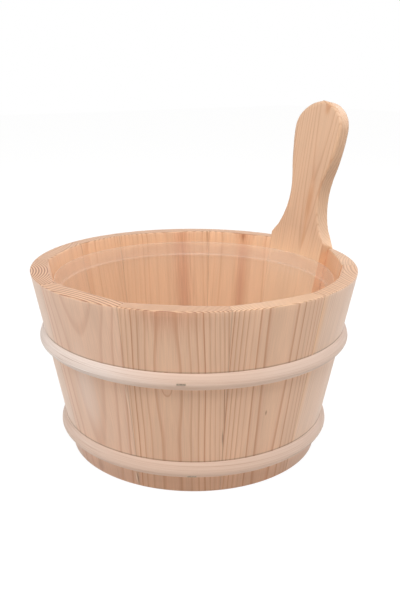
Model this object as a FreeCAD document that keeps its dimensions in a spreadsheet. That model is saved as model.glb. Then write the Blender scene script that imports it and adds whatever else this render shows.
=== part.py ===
import FreeCAD, Part
import math
import os
import re
import Sketcher

# Coopered pine pail with one long stave for a handle, two half-round hoops and a loose liner.
# The pail stands on Z = 0 with the handle towards +X. The origin is under the middle of its whole
# length, so the upright axis of the staves is a little behind it.

doc = FreeCAD.newDocument("Pail")
sheet = doc.addObject("Spreadsheet::Sheet", "Sizes")

# Lengths are in millimetres and handleSpan is in degrees
sizes = {
    "rimRadius": 125.0,
    "footRadius": 98.0,
    "pailHeight": 143.0,
    "wall": 11.0,
    "planing": 3.0,
    "rimRounding": 1.2,
    "footBevel": 0.8,
    "chimeHeight": 6.0,
    "bottomThickness": 9.0,
    "tongueThickness": 6.0,
    "crozeDepth": 4.0,
    "bottomFit": 0.2,
    "bottomBevel": 3.0,
    "boardWidth": 72.0,
    "hoopHeight": 12.5,
    "hoopProud": 5.0,
    "hoopSeat": 0.1,
    "upperHoopLevel": 92.2,
    "lowerHoopLevel": 20.2,
    "scarfGap": 0.3,
    "scarfInset": 0.5,
    "stapleCrown": 6.0,
    "stapleHeight": 1.0,
    "stapleThickness": 0.6,
    "stapleLeg": 10.0,
    "stapleProud": 0.2,
    "stapleFit": 0.05,
    "staplePitch": 13.0,
    "handleSpan": 31.0,
    "handleLength": 121.0,
    "neckLevel": 43.5,
    "neckWidth": 33.8,
    "shoulderRise": 2.2,
    "bladeWidth": 54.4,
    "handleRounding": 2.5,
    "linerDrop": 8.5,
    "linerBand": 10.5,
    "linerStep": 1.1,
    "linerWall": 0.9,
    "linerFit": 0.6,
    "linerRise": 0.3,
    "linerCorner": 5.0,
    "overrun": 5.0,
}

for row, (alias, number) in enumerate(sizes.items(), start=1):
    sheet.set(f"A{row}", alias)
    sheet.set(f"B{row}", str(number))
    sheet.setAlias(f"B{row}", alias)
doc.recompute()

aliasPattern = re.compile(r"\b(" + "|".join(sizes) + r")\b")


def bound(formula):
    return aliasPattern.sub(r"Sizes.\1", formula)


def value(formula):
    return float(sheet.evalExpression(formula))


def bind(thing, target, formula):
    thing.setExpression(target, bound(formula))


# The wall leans out by the same slope everywhere
slope = "((rimRadius - footRadius) / pailHeight)"
lean = f"atan({slope})"
axisPlace = f"(-handleLength * sin({lean}) / 2)"
innerRim = "(rimRadius - wall)"


def wallRadius(level):
    return f"(footRadius + ({level}) * {slope})"


def newBody(label):
    body = doc.addObject("PartDesign::Body", label)
    body.Label = label
    return body


def plane(body, role):
    return next(face for face in body.Origin.OriginFeatures if face.Role == role)


def place(body, angle="0", level="0"):
    # Every piece is drawn about its own Z axis, and this sets it on the axis of the pail
    turn = FreeCAD.Rotation(FreeCAD.Vector(0, 0, 1), value(angle))
    body.Placement = FreeCAD.Placement(FreeCAD.Vector(value(axisPlace), 0, value(level)), turn)
    bind(body, "Placement.Rotation.Angle", angle)
    bind(body, "Placement.Base.x", axisPlace)
    bind(body, "Placement.Base.z", level)


def newSketch(body, name, role, shift=None, axis=None, angle=None):
    # shift and angle are formulas for the sketch's place on its origin plane
    sketch = body.newObject("Sketcher::SketchObject", name)
    sketch.AttachmentSupport = [(plane(body, role), "")]
    sketch.MapMode = "FlatFace"
    if shift or axis:
        base = FreeCAD.Vector(*[value(part) for part in shift or ("0", "0", "0")])
        turn = FreeCAD.Rotation(FreeCAD.Vector(*axis), value(angle)) if axis else FreeCAD.Rotation()
        sketch.AttachmentOffset = FreeCAD.Placement(base, turn)
    if shift:
        for letter, part in zip("xyz", shift):
            bind(sketch, f"AttachmentOffset.Base.{letter}", part)
    if axis:
        bind(sketch, "AttachmentOffset.Rotation.Angle", angle)
    return sketch


def arcThrough(start, end, radius, side):
    # side is 1 where the path turns left and -1 where it turns right
    chord = end.sub(start)
    across = FreeCAD.Vector(-chord.y, chord.x, 0)
    across.normalize()
    rise = math.sqrt(max(radius ** 2 - (chord.Length / 2) ** 2, 0))
    centre = start.add(end).multiply(0.5).add(across.multiply(side * rise))
    first, last = (start, end) if side > 0 else (end, start)
    fromAngle = math.atan2(first.y - centre.y, first.x - centre.x)
    toAngle = math.atan2(last.y - centre.y, last.x - centre.x)
    return Part.ArcOfCircle(Part.Circle(centre, FreeCAD.Vector(0, 0, 1), radius), fromAngle, toAngle)


def drawOutline(sketch, corners, arcs=None):
    # corners are pairs of formulas; arcs maps a corner's number to the (radius, side) of the
    # arc that leaves it, and every other corner is left by a straight line
    arcs = arcs or {}
    count = len(corners)
    points = [FreeCAD.Vector(value(across), value(up), 0) for across, up in corners]
    for number, point in enumerate(points):
        following = points[(number + 1) % count]
        if number in arcs:
            radius, side = arcs[number]
            sketch.addGeometry(arcThrough(point, following, value(radius), side))
        else:
            sketch.addGeometry(Part.LineSegment(point, following))

    def endOf(number, leaving):
        backwards = number in arcs and arcs[number][1] < 0
        return 1 if leaving != backwards else 2

    for number in range(count):
        following = (number + 1) % count
        sketch.addConstraint(
            Sketcher.Constraint(
                "Coincident", number, endOf(number, False), following, endOf(following, True)
            )
        )
    for number, pair in enumerate(corners):
        spot = endOf(number, True)
        for kind, formula, axisNumber in (("DistanceX", pair[0], -2), ("DistanceY", pair[1], -1)):
            if formula == "0":
                sketch.addConstraint(Sketcher.Constraint("PointOnObject", number, spot, axisNumber))
                continue
            place = value(formula)
            index = sketch.addConstraint(Sketcher.Constraint(kind, -1, 1, number, spot, place))
            bind(sketch, f"Constraints[{index}]", formula)
    for number, (radius, side) in arcs.items():
        index = sketch.addConstraint(Sketcher.Constraint("Radius", number, value(radius)))
        bind(sketch, f"Constraints[{index}]", radius)


def revolve(body, kind, sketch, angle):
    feature = body.newObject(f"PartDesign::{kind}", f"{body.Label}_{kind}")
    feature.Profile = sketch
    feature.ReferenceAxis = (sketch, ["V_Axis"])
    feature.Midplane = True
    bind(feature, "Angle", angle)


def pocket(body, sketch, length, outward=False, bothWays=False):
    feature = body.newObject("PartDesign::Pocket", f"{body.Label}_Pocket")
    feature.Profile = sketch
    feature.Type = "Length"
    feature.Reversed = outward
    feature.Midplane = bothWays
    bind(feature, "Length", length)


def edgeNames(shape, test):
    return [f"Edge{number}" for number, edge in enumerate(shape.Edges, start=1) if test(edge)]


def dress(body, kind, sizeName, formula, test):
    doc.recompute()
    below = body.Tip
    names = edgeNames(below.Shape, test)
    feature = body.newObject(f"PartDesign::{kind}", f"{body.Label}_{kind}")
    feature.Base = (below, names)
    bind(feature, sizeName, formula)


def midPoint(edge):
    return edge.valueAt((edge.FirstParameter + edge.LastParameter) / 2)


def isStraight(edge):
    return isinstance(edge.Curve, (Part.Line, Part.LineSegment))


closeTo = 1e-4


def arcAtLevel(level):
    def test(edge):
        atLevel = all(abs(vertex.Z - level) < closeTo for vertex in edge.Vertexes)
        return atLevel and abs(midPoint(edge).z - level) < closeTo and not isStraight(edge)

    return test


# Croze: the groove near the foot that holds the bottom boards
grooveFloor = "(chimeHeight + bottomThickness - tongueThickness)"
grooveRoof = "(chimeHeight + bottomThickness)"
grooveRadius = f"({wallRadius(grooveFloor)} - wall + crozeDepth)"
sweepMargin = 10


def cutCroze(body, span, stock):
    sketch = newSketch(body, f"{body.Label}_croze", "XZ_Plane")
    inside = f"({wallRadius('0')} - {stock} - overrun)"
    corners = [
        (inside, grooveFloor),
        (grooveRadius, grooveFloor),
        (grooveRadius, grooveRoof),
        (inside, grooveRoof),
    ]
    drawOutline(sketch, corners)
    revolve(body, "Groove", sketch, f"{span} + {sweepMargin}")


def bevelFoot(body):
    dress(body, "Chamfer", "Size", "footBevel", arcAtLevel(0))


# Staves, counted anticlockwise from the handle stave. Each is a sector of the wall, hollowed
# inside about an axis of its own: flatShares runs from 0, as round as the rim, to 1, flat.
widthShares = [30.0, 43.0, 22.0, 30.0, 33.5, 35.5, 34.0, 33.0, 42.0, 26.0]
flatShares = [0.5, 0.4, 0.5, 0.5, 0.55, 0.74, 0.6, 0.45, 0.15, 0.63]
staveCount = len(widthShares)

# The last stave was planed thinner towards the handle: its hollow is turned away from it
thinStave = staveCount - 1
thinTurn = -12
thinReach = 25
thinWallShare = 0.4


def staveSpan(index):
    return f"((360 - handleSpan) * {widthShares[index] / sum(widthShares)})"


def staveMiddle(index):
    before = sum(widthShares[:index]) + widthShares[index] / 2
    return f"(handleSpan / 2 + (360 - handleSpan) * {before / sum(widthShares)})"


def hollowOf(index):
    # the radius at the hollow's corners, its half angle, and how far its middle comes in
    if index == thinStave:
        corner = f"(rimRadius - {thinWallShare} * wall)"
        reach = f"({thinReach})"
        turn = f"({thinTurn})"
    else:
        corner = innerRim
        reach = f"({staveSpan(index)} / 2)"
        turn = "(0)"
    depth = f"(1 - {flatShares[index]} * (1 - cos({reach})))"
    return corner, reach, turn, depth


flattest = "; ".join([hollowOf(index)[3] for index in range(thinStave)] + ["cos(handleSpan / 2)"])
clearRim = f"({innerRim} * min({flattest}))"
stock = f"(rimRadius - {clearRim} + planing)"


def hollowOut(body, index):
    corner, reach, turn, depth = hollowOf(index)
    away = f"({corner} * (1 - ({depth})^2) / (2 * ({depth} - cos({reach}))))"
    shift = (f"-{away} * cos({turn})", "0", f"{away} * sin({turn})")
    sketch = newSketch(body, f"{body.Label}_hollow", "XZ_Plane", shift, (0, 1, 0), turn)
    rimReach = f"({away} + {corner} * {depth})"
    above = "(pailHeight + overrun)"
    below = "(-overrun)"
    upper = f"({rimReach} + overrun * {slope})"
    lower = f"({rimReach} - (pailHeight + overrun) * {slope})"
    corners = [
        (f"{lower} - {stock}", below),
        (lower, below),
        (upper, above),
        (f"{upper} - {stock}", above),
    ]
    drawOutline(sketch, corners)
    revolve(body, "Groove", sketch, f"2 * {reach} + {sweepMargin}")


def makeStave(index):
    body = newBody(f"stave_{index + 1:02d}")
    sketch = newSketch(body, f"{body.Label}_section", "XZ_Plane")
    corners = [
        (f"footRadius - {stock}", "0"),
        ("footRadius", "0"),
        ("rimRadius", "pailHeight"),
        (f"rimRadius - {stock}", "pailHeight"),
    ]
    drawOutline(sketch, corners)
    revolve(body, "Revolution", sketch, staveSpan(index))
    hollowOut(body, index)
    cutCroze(body, staveSpan(index), stock)
    dress(body, "Fillet", "Radius", "rimRounding", arcAtLevel(value("pailHeight")))
    bevelFoot(body)
    place(body, staveMiddle(index))
    return body


# Handle stave: one long board, flat inside, sawn to a paddle above the rim
flatDistance = f"({innerRim} * cos(handleSpan / 2))"
flatPlace = ("0", "pailHeight", flatDistance)
halfNeck = "(neckWidth / 2)"
halfBlade = "(bladeWidth / 2)"
flareRun = f"(rimRadius * sin(handleSpan / 2) - {halfNeck})"
flareRadius = f"(({flareRun}^2 + (neckLevel - shoulderRise)^2) / (2 * {flareRun}))"
crookShare = 0.35
dropShare = 0.853
cornerShare = 0.733


def makeHandleStave():
    body = newBody("handle_stave")
    depth = f"(rimRadius - {flatDistance} + planing)"
    top = "(pailHeight + handleLength + overrun)"
    section = newSketch(body, "handle_stave_section", "XZ_Plane")
    corners = [
        (f"footRadius - {depth}", "0"),
        ("footRadius", "0"),
        (wallRadius(top), top),
        (f"{wallRadius(top)} - {depth}", top),
    ]
    drawOutline(section, corners)
    revolve(body, "Revolution", section, "2 * handleSpan")
    cutSides(body, depth)
    cutFlatFace(body)
    cutPaddle(body, depth)
    cutCroze(body, "handleSpan", depth)
    roundPaddle(body)
    bevelFoot(body)
    place(body)
    return body


def cutSides(body, depth):
    # Below the neck the board is trimmed to its own sector of the wall
    sketch = newSketch(body, "handle_stave_sides", "XZ_Plane")
    neck = "(pailHeight + neckLevel)"
    inside = f"(-(footRadius - {depth} - overrun))"
    outside = f"(-({wallRadius(neck)} + overrun))"
    corners = [(outside, "-overrun"), (inside, "-overrun"), (inside, neck), (outside, neck)]
    drawOutline(sketch, corners)
    revolve(body, "Groove", sketch, "360 - handleSpan")


def cutFlatFace(body):
    sketch = newSketch(body, "handle_stave_flat", "YZ_Plane", flatPlace, (1, 0, 0), lean)
    foot = "(-pailHeight / cos(" + lean + ") - 2 * overrun)"
    top = "(2 * handleLength + overrun)"
    corners = [("-rimRadius", foot), ("rimRadius", foot), ("rimRadius", top), ("-rimRadius", top)]
    drawOutline(sketch, corners)
    pocket(body, sketch, "footRadius")


def cutPaddle(body, depth):
    # The waste beside and above the paddle, from the rim on the right over the top to the left
    drop = f"({dropShare} * {halfBlade})"
    bladeLevel = f"(handleLength - {drop})"
    rise = f"({bladeLevel} - neckLevel)"
    spread = f"({halfBlade} - {halfNeck})"
    crook = f"(({rise}^2 + {spread}^2) / (2 * {spread}))"
    corner = f"({cornerShare} * {halfBlade})"
    crown = f"((({halfBlade} - {corner})^2 + {drop}^2 - {corner}^2) / (2 * ({drop} - {corner})))"
    crownGap = f"(handleLength - {crown})"
    crownShare = f"({crown} / ({crown} - {corner}))"
    flareStart = f"({halfNeck} + {flareRadius} - sqrt({flareRadius}^2 - neckLevel^2))"
    rightSide = [
        (flareStart, "0"),
        (halfNeck, "neckLevel"),
        (f"({halfNeck} + {crookShare} * {spread})", f"(neckLevel + {crookShare} * {rise})"),
        (halfBlade, bladeLevel),
        (f"(({halfBlade} - {corner}) * {crownShare})",
         f"({crownGap} + ({bladeLevel} - {crownGap}) * {crownShare})"),
    ]
    leftSide = [(f"(-{across})", up) for across, up in reversed(rightSide)]
    edge = "rimRadius"
    top = "(2 * handleLength + overrun)"
    frame = [(f"-{edge}", "0"), (f"-{edge}", top), (edge, top), (edge, "0")]
    innerCrook = f"({crookShare} * {crook})"
    outerCrook = f"({1 - crookShare} * {crook})"
    bends = [(flareRadius, -1), (innerCrook, -1), (outerCrook, 1), (corner, 1), (crown, 1)]
    bends += [(corner, 1), (outerCrook, 1), (innerCrook, -1), (flareRadius, -1)]
    sketch = newSketch(body, "handle_stave_paddle", "YZ_Plane", flatPlace, (1, 0, 0), lean)
    drawOutline(sketch, rightSide + leftSide + frame, dict(enumerate(bends)))
    pocket(body, sketch, f"{depth} + 2 * overrun", outward=True)


def roundPaddle(body):
    lowest = value("pailHeight")

    def onPaddle(edge):
        # the flares meet the sides of the stave in pieces of ellipse, which stay sharp
        alongPaddle = isinstance(edge.Curve, (Part.Circle, Part.BSplineCurve))
        return midPoint(edge).z > lowest and alongPaddle

    dress(body, "Fillet", "Radius", "handleRounding", onPaddle)


# Bottom: three boards, edge to edge, with a tongue all round that sits in the croze
boardReach = f"({grooveRadius} - bottomFit)"
rabbetRadius = f"({clearRim} - (pailHeight - chimeHeight) * {slope} - bottomFit)"
boardTurn = 20


def makeBoard(label, lowEdge, highEdge):
    # lowEdge and highEdge are the board's long edges, None where it reaches the groove
    body = newBody(label)
    sketch = newSketch(body, f"{label}_section", "XZ_Plane")
    corners = [
        ("0", "chimeHeight"),
        (f"{rabbetRadius} - bottomBevel", "chimeHeight"),
        (rabbetRadius, grooveFloor),
        (boardReach, grooveFloor),
        (boardReach, f"{grooveRoof} - bottomFit"),
        ("0", f"{grooveRoof} - bottomFit"),
    ]
    drawOutline(sketch, corners)
    revolve(body, "Revolution", sketch, "360")
    for name, near, far in (("low", lowEdge, "-rimRadius"), ("high", highEdge, "rimRadius")):
        if near is None:
            continue
        cut = newSketch(body, f"{label}_{name}", "XY_Plane")
        across = sorted([near, far], key=value)
        drawOutline(
            cut,
            [("-rimRadius", across[0]), ("rimRadius", across[0]),
             ("rimRadius", across[1]), ("-rimRadius", across[1])],
        )
        pocket(body, cut, "2 * pailHeight", bothWays=True)
    place(body, f"({boardTurn})")
    return body


# Hoops: half-round rods bent round the wall, with a scarf where their ends meet
hoops = {
    "upper_hoop": {"level": "upperHoopLevel", "scarfAngle": 68, "stapleAngle": 228.6, "drop": "0"},
    "lower_hoop": {"level": "lowerHoopLevel", "scarfAngle": 108, "stapleAngle": 231.9,
                   "drop": "(hoopHeight / 4)"},
}
hoopTilt = f"cos({lean})"
hoopArc = "((hoopHeight^2 / 4 + hoopProud^2) / (2 * hoopProud))"


def makeHoop(label):
    level = hoops[label]["level"]
    body = newBody(label)
    sketch = newSketch(body, f"{label}_section", "XZ_Plane")
    low = f"({level} - hoopHeight / 2)"
    high = f"({level} + hoopHeight / 2)"
    crest = (
        f"({wallRadius(level)} + hoopSeat + hoopProud * {hoopTilt})",
        f"({level} - hoopProud * sin({lean}))",
    )
    corners = [
        (f"({wallRadius(low)} + hoopSeat)", low),
        crest,
        (f"({wallRadius(high)} + hoopSeat)", high),
    ]
    drawOutline(sketch, corners, {0: (hoopArc, 1), 1: (hoopArc, 1)})
    revolve(body, "Revolution", sketch, "360")
    cutScarf(body, label)
    for angle, drop in staplePlaces(label):
        cutStapleSeat(body, label, f"({angle}) - ({hoops[label]['scarfAngle']})", drop)
    place(body, f"({hoops[label]['scarfAngle']})")
    return body


def scarfPlaces(label):
    # the plan distances from the axis to the scarf, and along it to where it leaves the hoop
    level = hoops[label]["level"]
    near = f"({wallRadius(level + ' - hoopHeight / 2')} - scarfInset)"
    outside = f"({wallRadius(level)} + hoopSeat + hoopProud + overrun)"
    far = f"sqrt({outside}^2 - {near}^2)"
    return near, far


def cutScarf(body, label):
    near, far = scarfPlaces(label)
    shift = ("0", "0", hoops[label]["level"])
    sketch = newSketch(body, f"{label}_scarf", "XY_Plane", shift)
    corners = [(near, "0"), (f"{near} + scarfGap", "0"), (f"{near} + scarfGap", far), (near, far)]
    drawOutline(sketch, corners)
    pocket(body, sketch, "2 * hoopHeight", bothWays=True)


# Staples: one in front and two through the scarf of each hoop, driven on into a stave
def scarfStaple(label, side):
    near, far = scarfPlaces(label)
    level = hoops[label]["level"]
    middle = f"atan({far} / {near}) / (2 deg)"
    aside = f"asin(staplePitch / 2 / {wallRadius(level)}) / (1 deg)"
    return f"{hoops[label]['scarfAngle']} + {middle} + ({side}) * {aside}"


def staplePlaces(label):
    hoop = hoops[label]
    front = (f"{hoop['stapleAngle']}", hoop["drop"])
    return [front, (scarfStaple(label, -1), "0"), (scarfStaple(label, 1), "0")]


def crownFace(label, drop):
    # the radius of the hoop's outer face at the staple's level
    level = hoops[label]["level"]
    seat = f"({wallRadius(level)} + hoopSeat)"
    inset = f"({hoopArc} - hoopProud)"
    return f"({seat} - {inset} + sqrt({hoopArc}^2 - ({drop})^2))"


def stapleCorners(label, drop, fit, mouth):
    outer = f"({crownFace(label, drop)} + ({mouth}))"
    under = f"({crownFace(label, drop)} + stapleProud - stapleThickness - ({fit}))"
    tip = f"({crownFace(label, drop)} + stapleProud - stapleLeg - ({fit}))"
    side = f"(stapleCrown / 2 + ({fit}))"
    leg = f"(stapleCrown / 2 - stapleThickness - ({fit}))"
    return [
        (tip, side), (tip, leg), (under, leg), (under, f"(-{leg})"), (tip, f"(-{leg})"),
        (tip, f"(-{side})"), (outer, f"(-{side})"), (outer, side),
    ]


def cutStapleSeat(body, label, turn, drop):
    level = hoops[label]["level"]
    shift = ("0", "0", f"{level} - ({drop})")
    sketch = newSketch(body, f"{body.Label}_staple_seat", "XY_Plane", shift, (0, 0, 1), turn)
    drawOutline(sketch, stapleCorners(label, drop, "stapleFit", "overrun"))
    pocket(body, sketch, "stapleHeight + 2 * stapleFit", bothWays=True)


def makeStaples(label):
    level = hoops[label]["level"]
    staples = []
    for number, (angle, drop) in enumerate(staplePlaces(label), start=1):
        body = newBody(f"{label}_staple_{number}")
        sketch = newSketch(body, f"{body.Label}_wire", "XY_Plane")
        drawOutline(sketch, stapleCorners(label, drop, "0", "stapleProud"))
        pad = body.newObject("PartDesign::Pad", f"{body.Label}_pad")
        pad.Profile = sketch
        pad.Midplane = True
        bind(pad, "Length", "stapleHeight")
        place(body, angle, f"{level} - ({drop})")
        staples.append(body)
    group = doc.addObject("Part::Compound", f"{label}_staples")
    group.Label = f"{label}_staples"
    group.Links = staples
    return group


def seatStaplesInStaves(staves):
    for label in hoops:
        for angle, drop in staplePlaces(label):
            for index, body in enumerate(staves):
                turn = f"({angle}) - {staveMiddle(index)}"
                reach = f"{staveSpan(index)} / 2 + asin(stapleCrown / footRadius) / (1 deg)"
                if abs(value(turn)) < value(reach):
                    cutStapleSeat(body, label, turn, drop)


# Liner: a thin tub that stands on the bottom boards and lifts out
def makeLiner():
    body = newBody("liner")
    floor = f"({grooveRoof} - bottomFit + linerRise)"
    top = "(pailHeight - linerDrop)"
    bandFoot = f"({top} - linerBand)"
    topRadius = f"({clearRim} - linerDrop * {slope} - linerFit)"
    bandRadius = f"({topRadius} - linerBand * {slope})"
    stepRadius = f"({bandRadius} - linerStep)"
    stepLevel = f"({bandFoot} - linerStep)"
    lowRadius = f"({stepRadius} - ({stepLevel} - {floor}) * {slope})"
    sketch = newSketch(body, "liner_section", "XZ_Plane")
    corners = [
        ("0", floor),
        (lowRadius, floor),
        (stepRadius, stepLevel),
        (bandRadius, bandFoot),
        (topRadius, top),
        (f"{topRadius} - linerWall", top),
        (f"{bandRadius} - linerWall", bandFoot),
        (f"{stepRadius} - linerWall", stepLevel),
        (f"{lowRadius} - linerWall", f"{floor} + linerWall"),
        ("0", f"{floor} + linerWall"),
    ]
    drawOutline(sketch, corners)
    revolve(body, "Revolution", sketch, "360")
    floorLevel = value(floor)
    dress(body, "Fillet", "Radius", "linerCorner + linerWall", arcAtLevel(floorLevel))
    dress(body, "Fillet", "Radius", "linerCorner", arcAtLevel(floorLevel + value("linerWall")))
    place(body)
    return body


staves = [makeStave(index) for index in range(staveCount)]
seatStaplesInStaves(staves)
handleStave = makeHandleStave()
halfBoard = "(boardWidth / 2)"
boards = [
    makeBoard("bottom_board_middle", f"(-{halfBoard})", halfBoard),
    makeBoard("bottom_board_left", halfBoard, None),
    makeBoard("bottom_board_right", None, f"(-{halfBoard})"),
]
hoopBodies = [makeHoop(label) for label in hoops]
stapleGroups = [makeStaples(label) for label in hoops]
liner = makeLiner()
pieces = staves + [handleStave] + boards + hoopBodies + stapleGroups + [liner]

doc.recompute()
for thing in doc.Objects:
    if "Invalid" in thing.State or "Error" in thing.State:
        raise RuntimeError(f"{thing.Label} did not compute: {thing.State}")
for piece in pieces:
    if piece.Shape.isNull() or not piece.Shape.isValid():
        raise RuntimeError(f"{piece.Label} has no valid shape")

os.makedirs("parts", exist_ok=True)
for piece in pieces:
    piece.Shape.exportStep(f"parts/{piece.Label}.step")
    box = piece.Shape.BoundBox
    print(piece.Label, len(piece.Shape.Solids), "solids", round(piece.Shape.Volume), "mm3",
          round(box.ZMin, 2), "to", round(box.ZMax, 2))
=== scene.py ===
import math

import bmesh
import bpy
import numpy as np
from mathutils import Matrix, Vector, noise


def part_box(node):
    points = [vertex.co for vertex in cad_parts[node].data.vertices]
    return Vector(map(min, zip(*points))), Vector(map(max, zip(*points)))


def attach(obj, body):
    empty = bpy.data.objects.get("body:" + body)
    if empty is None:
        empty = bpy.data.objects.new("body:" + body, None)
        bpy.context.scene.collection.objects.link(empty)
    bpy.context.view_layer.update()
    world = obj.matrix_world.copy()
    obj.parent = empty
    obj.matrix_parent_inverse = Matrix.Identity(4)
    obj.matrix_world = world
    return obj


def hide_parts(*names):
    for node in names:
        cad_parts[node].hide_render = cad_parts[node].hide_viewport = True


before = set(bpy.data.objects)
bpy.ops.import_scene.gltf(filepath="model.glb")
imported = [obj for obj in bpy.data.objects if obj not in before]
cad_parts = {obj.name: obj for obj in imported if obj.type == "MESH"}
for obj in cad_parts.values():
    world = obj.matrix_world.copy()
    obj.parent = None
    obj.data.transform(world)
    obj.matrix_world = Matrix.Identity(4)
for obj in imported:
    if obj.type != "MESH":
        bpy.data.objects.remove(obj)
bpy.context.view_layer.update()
scene = bpy.context.scene
mm = 0.001
linerLow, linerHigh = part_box("liner")
axisX = (linerLow.x + linerHigh.x) / 2  # the upright axis of the round pail
print("frame loaded, pail axis at", round(axisX / mm, 2), "mm")

pail = {  # mm
    "rimRadius": 125, "footRadius": 98, "height": 143, "innerRim": 114,
    "rimOuterRound": 0.72, "rimInnerRound": 0.96, "footBevel": 0.8,
    "crozeFloor": 9, "crozeRoof": 15, "crozeRadius": 92.7,
    # levels of the corners above the hoops, where a line of painted shade lies, and half its width
    "seatLines": (98.75, 26.8), "seatLineHalf": 0.5,
}
slope = (pail["rimRadius"] - pail["footRadius"]) / pail["height"]
lean = math.atan(slope)
leanCos, leanSin = math.cos(lean), math.sin(lean)
rimLevel = pail["height"]


def wallRadius(level):
    return pail["footRadius"] + level * slope


def linear(hexColour):
    channels = [int(hexColour[start:start + 2], 16) / 255 for start in (1, 3, 5)]
    return [c / 12.92 if c <= 0.04045 else ((c + 0.055) / 1.055) ** 2.4 for c in channels] + [1.0]


def add(tree, kind, settings=None, *values, named=None):
    # kind is a node's type, without the usual ShaderNode before it; settings may be just the name
    # of an operation; values fill the inputs in order, and a node stands for its first output
    full = kind.startswith(("GeometryNode", "NodeGroup"))
    made = tree.nodes.new(kind if full else f"ShaderNode{kind}")
    if isinstance(settings, str):
        settings = {"operation": settings}
    for key, value in (settings or {}).items():
        if key == "stops":
            while len(made.color_ramp.elements) < len(value):
                made.color_ramp.elements.new(0.5)
            for element, (place, colour) in zip(made.color_ramp.elements, value):
                element.position, element.color = place, linear(colour)
        else:
            setattr(made, key, value)
    for key, value in [*enumerate(values), *(named or {}).items()]:
        if isinstance(value, bpy.types.Node):
            value = value.outputs[0]
        if isinstance(value, bpy.types.NodeSocket):
            tree.links.new(value, made.inputs[key])
        else:
            made.inputs[key].default_value = value
    return made


def placed(name, data):
    thing = bpy.data.objects.new(name, data)
    scene.collection.objects.link(thing)
    return thing


def newMaterial(name):
    material = bpy.data.materials.new(name)
    material.use_nodes = True
    material.node_tree.nodes.clear()
    return material, material.node_tree


# Camera: fitted to the rim's ellipse, the foot's arc and the wall's taper
view = {  # mm and degrees
    "distance": 562.5, "azimuth": -127.5, "height": 287.3,
    "heading": -37.973, "pitch": 17.32, "roll": 0.326, "lens": 44.785,
}
cameraData = bpy.data.cameras.new("camera")
cameraData.lens = view["lens"]
cameraData.sensor_width = 36
camera = placed("camera", cameraData)
around = math.radians(view["azimuth"])
camera.location = (
    axisX + view["distance"] * mm * math.cos(around),
    view["distance"] * mm * math.sin(around),
    view["height"] * mm,
)
turned = Matrix.Rotation(math.radians(view["heading"]), 3, "Z")
turned = turned @ Matrix.Rotation(math.radians(90 - view["pitch"]), 3, "X")
turned = turned @ Matrix.Rotation(math.radians(view["roll"]), 3, "Z")
camera.rotation_euler = turned.to_euler()
scene.camera = camera


# Pine: a softwood with wide pale earlywood and narrow reddish latewood. The growth rings are laid
# round a pith line in three dimensions, so the end grain on the rim meets the lines on the faces.
# Places on a board are in mm across its outer face and up it, from the middle of that face.
plainPine = {
    "pith": (140, 0),  # the rings' centre: mm outside the outer face, and mm across it
    "ring": 2.3, "phase": 0.0, "seed": 0.0,  # mm a ring, and where rings and noise start
    "taper": 0.0, "drift": 0.0,  # rings, and mm that the centre moves across, per mm of height
    "waver": 0.5, "uneven": 0.12,  # how far the rings wave, and how much their widths differ
    "bulges": (),  # where the rings swell: across, up, width, height, rings
    "patches": (),  # heartwood, knots and flecks: across, up, width, height, share, colour
    "early": "#E9C0A1", "late": "#C07B54", "contrast": 0.74,
    # the hollowed inside, and the depths in mm where its colour is full and where it starts
    # the inside's colours are painted warmer, for the light bounced round the hollow
    "inner": "#F3C59D", "innerLate": "#CF9064", "innerContrast": 0.3, "faceDepth": (-7.5, -5.5),
    "endEarly": "#DDB28D", "endLate": "#8A4A27", "endContrast": 0.75, "endShare": 1.0,
    "jointLight": 0.76, "footTint": 0.3,
}
# What all the pine shares. Scales are per mm: out of the face, across it and along the fibres.
grain = {
    "swirlScale": (0.03, 0.03, 0.006), "swirlReach": (2, 6), "unevenPitch": 2.3,
    "fibreScale": (1.6, 1.6, 0.035), "fibreLight": (0.93, 1.07),
    "cloudScale": (0.07, 0.07, 0.012), "cloudLight": (0.95, 1.05),
    "yearDepth": (0.25, 1.0), "patchEdge": (0.45, 1.45), "patchRag": 0.9,
    "jointEdge": (-0.3, 0.2), "jointRag": -0.6,
    # levels in mm, the first two from the rim and the third from the foot
    "insideEdge": (-11, 14), "endEdge": (-0.7, -0.2), "footTintEdge": (8, 22),
    "footTintColour": "#C0835C", "seatShadeLight": 0.68,
    "roughness": 0.46, "sheen": 0.18, "sheenRoughness": 0.4, "bump": 0.25, "bumpDepth": 0.15,
    # light and dark through one year's ring, on the faces and on the sawn ends
    "faceYear": [(0.0, "#000000"), (0.42, "#181818"), (0.7, "#7C7C7C"), (0.84, "#FFFFFF"),
                 (0.93, "#FFFFFF"), (1.0, "#000000")],
    "endYear": [(0.0, "#000000"), (0.4, "#404040"), (0.68, "#FFFFFF"), (0.93, "#FFFFFF"),
                (1.0, "#000000")],
}


def spotDistance(tree, board, across, up, width, height):
    # distance from a place on the board, 1 at the edge of an oval round it
    away = add(tree, "VectorMath", "SUBTRACT", board, (0, across, up))
    away = add(tree, "VectorMath", "MULTIPLY", away, (0, 1 / width, 1 / height))
    return add(tree, "VectorMath", "LENGTH", away).outputs["Value"]


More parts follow.
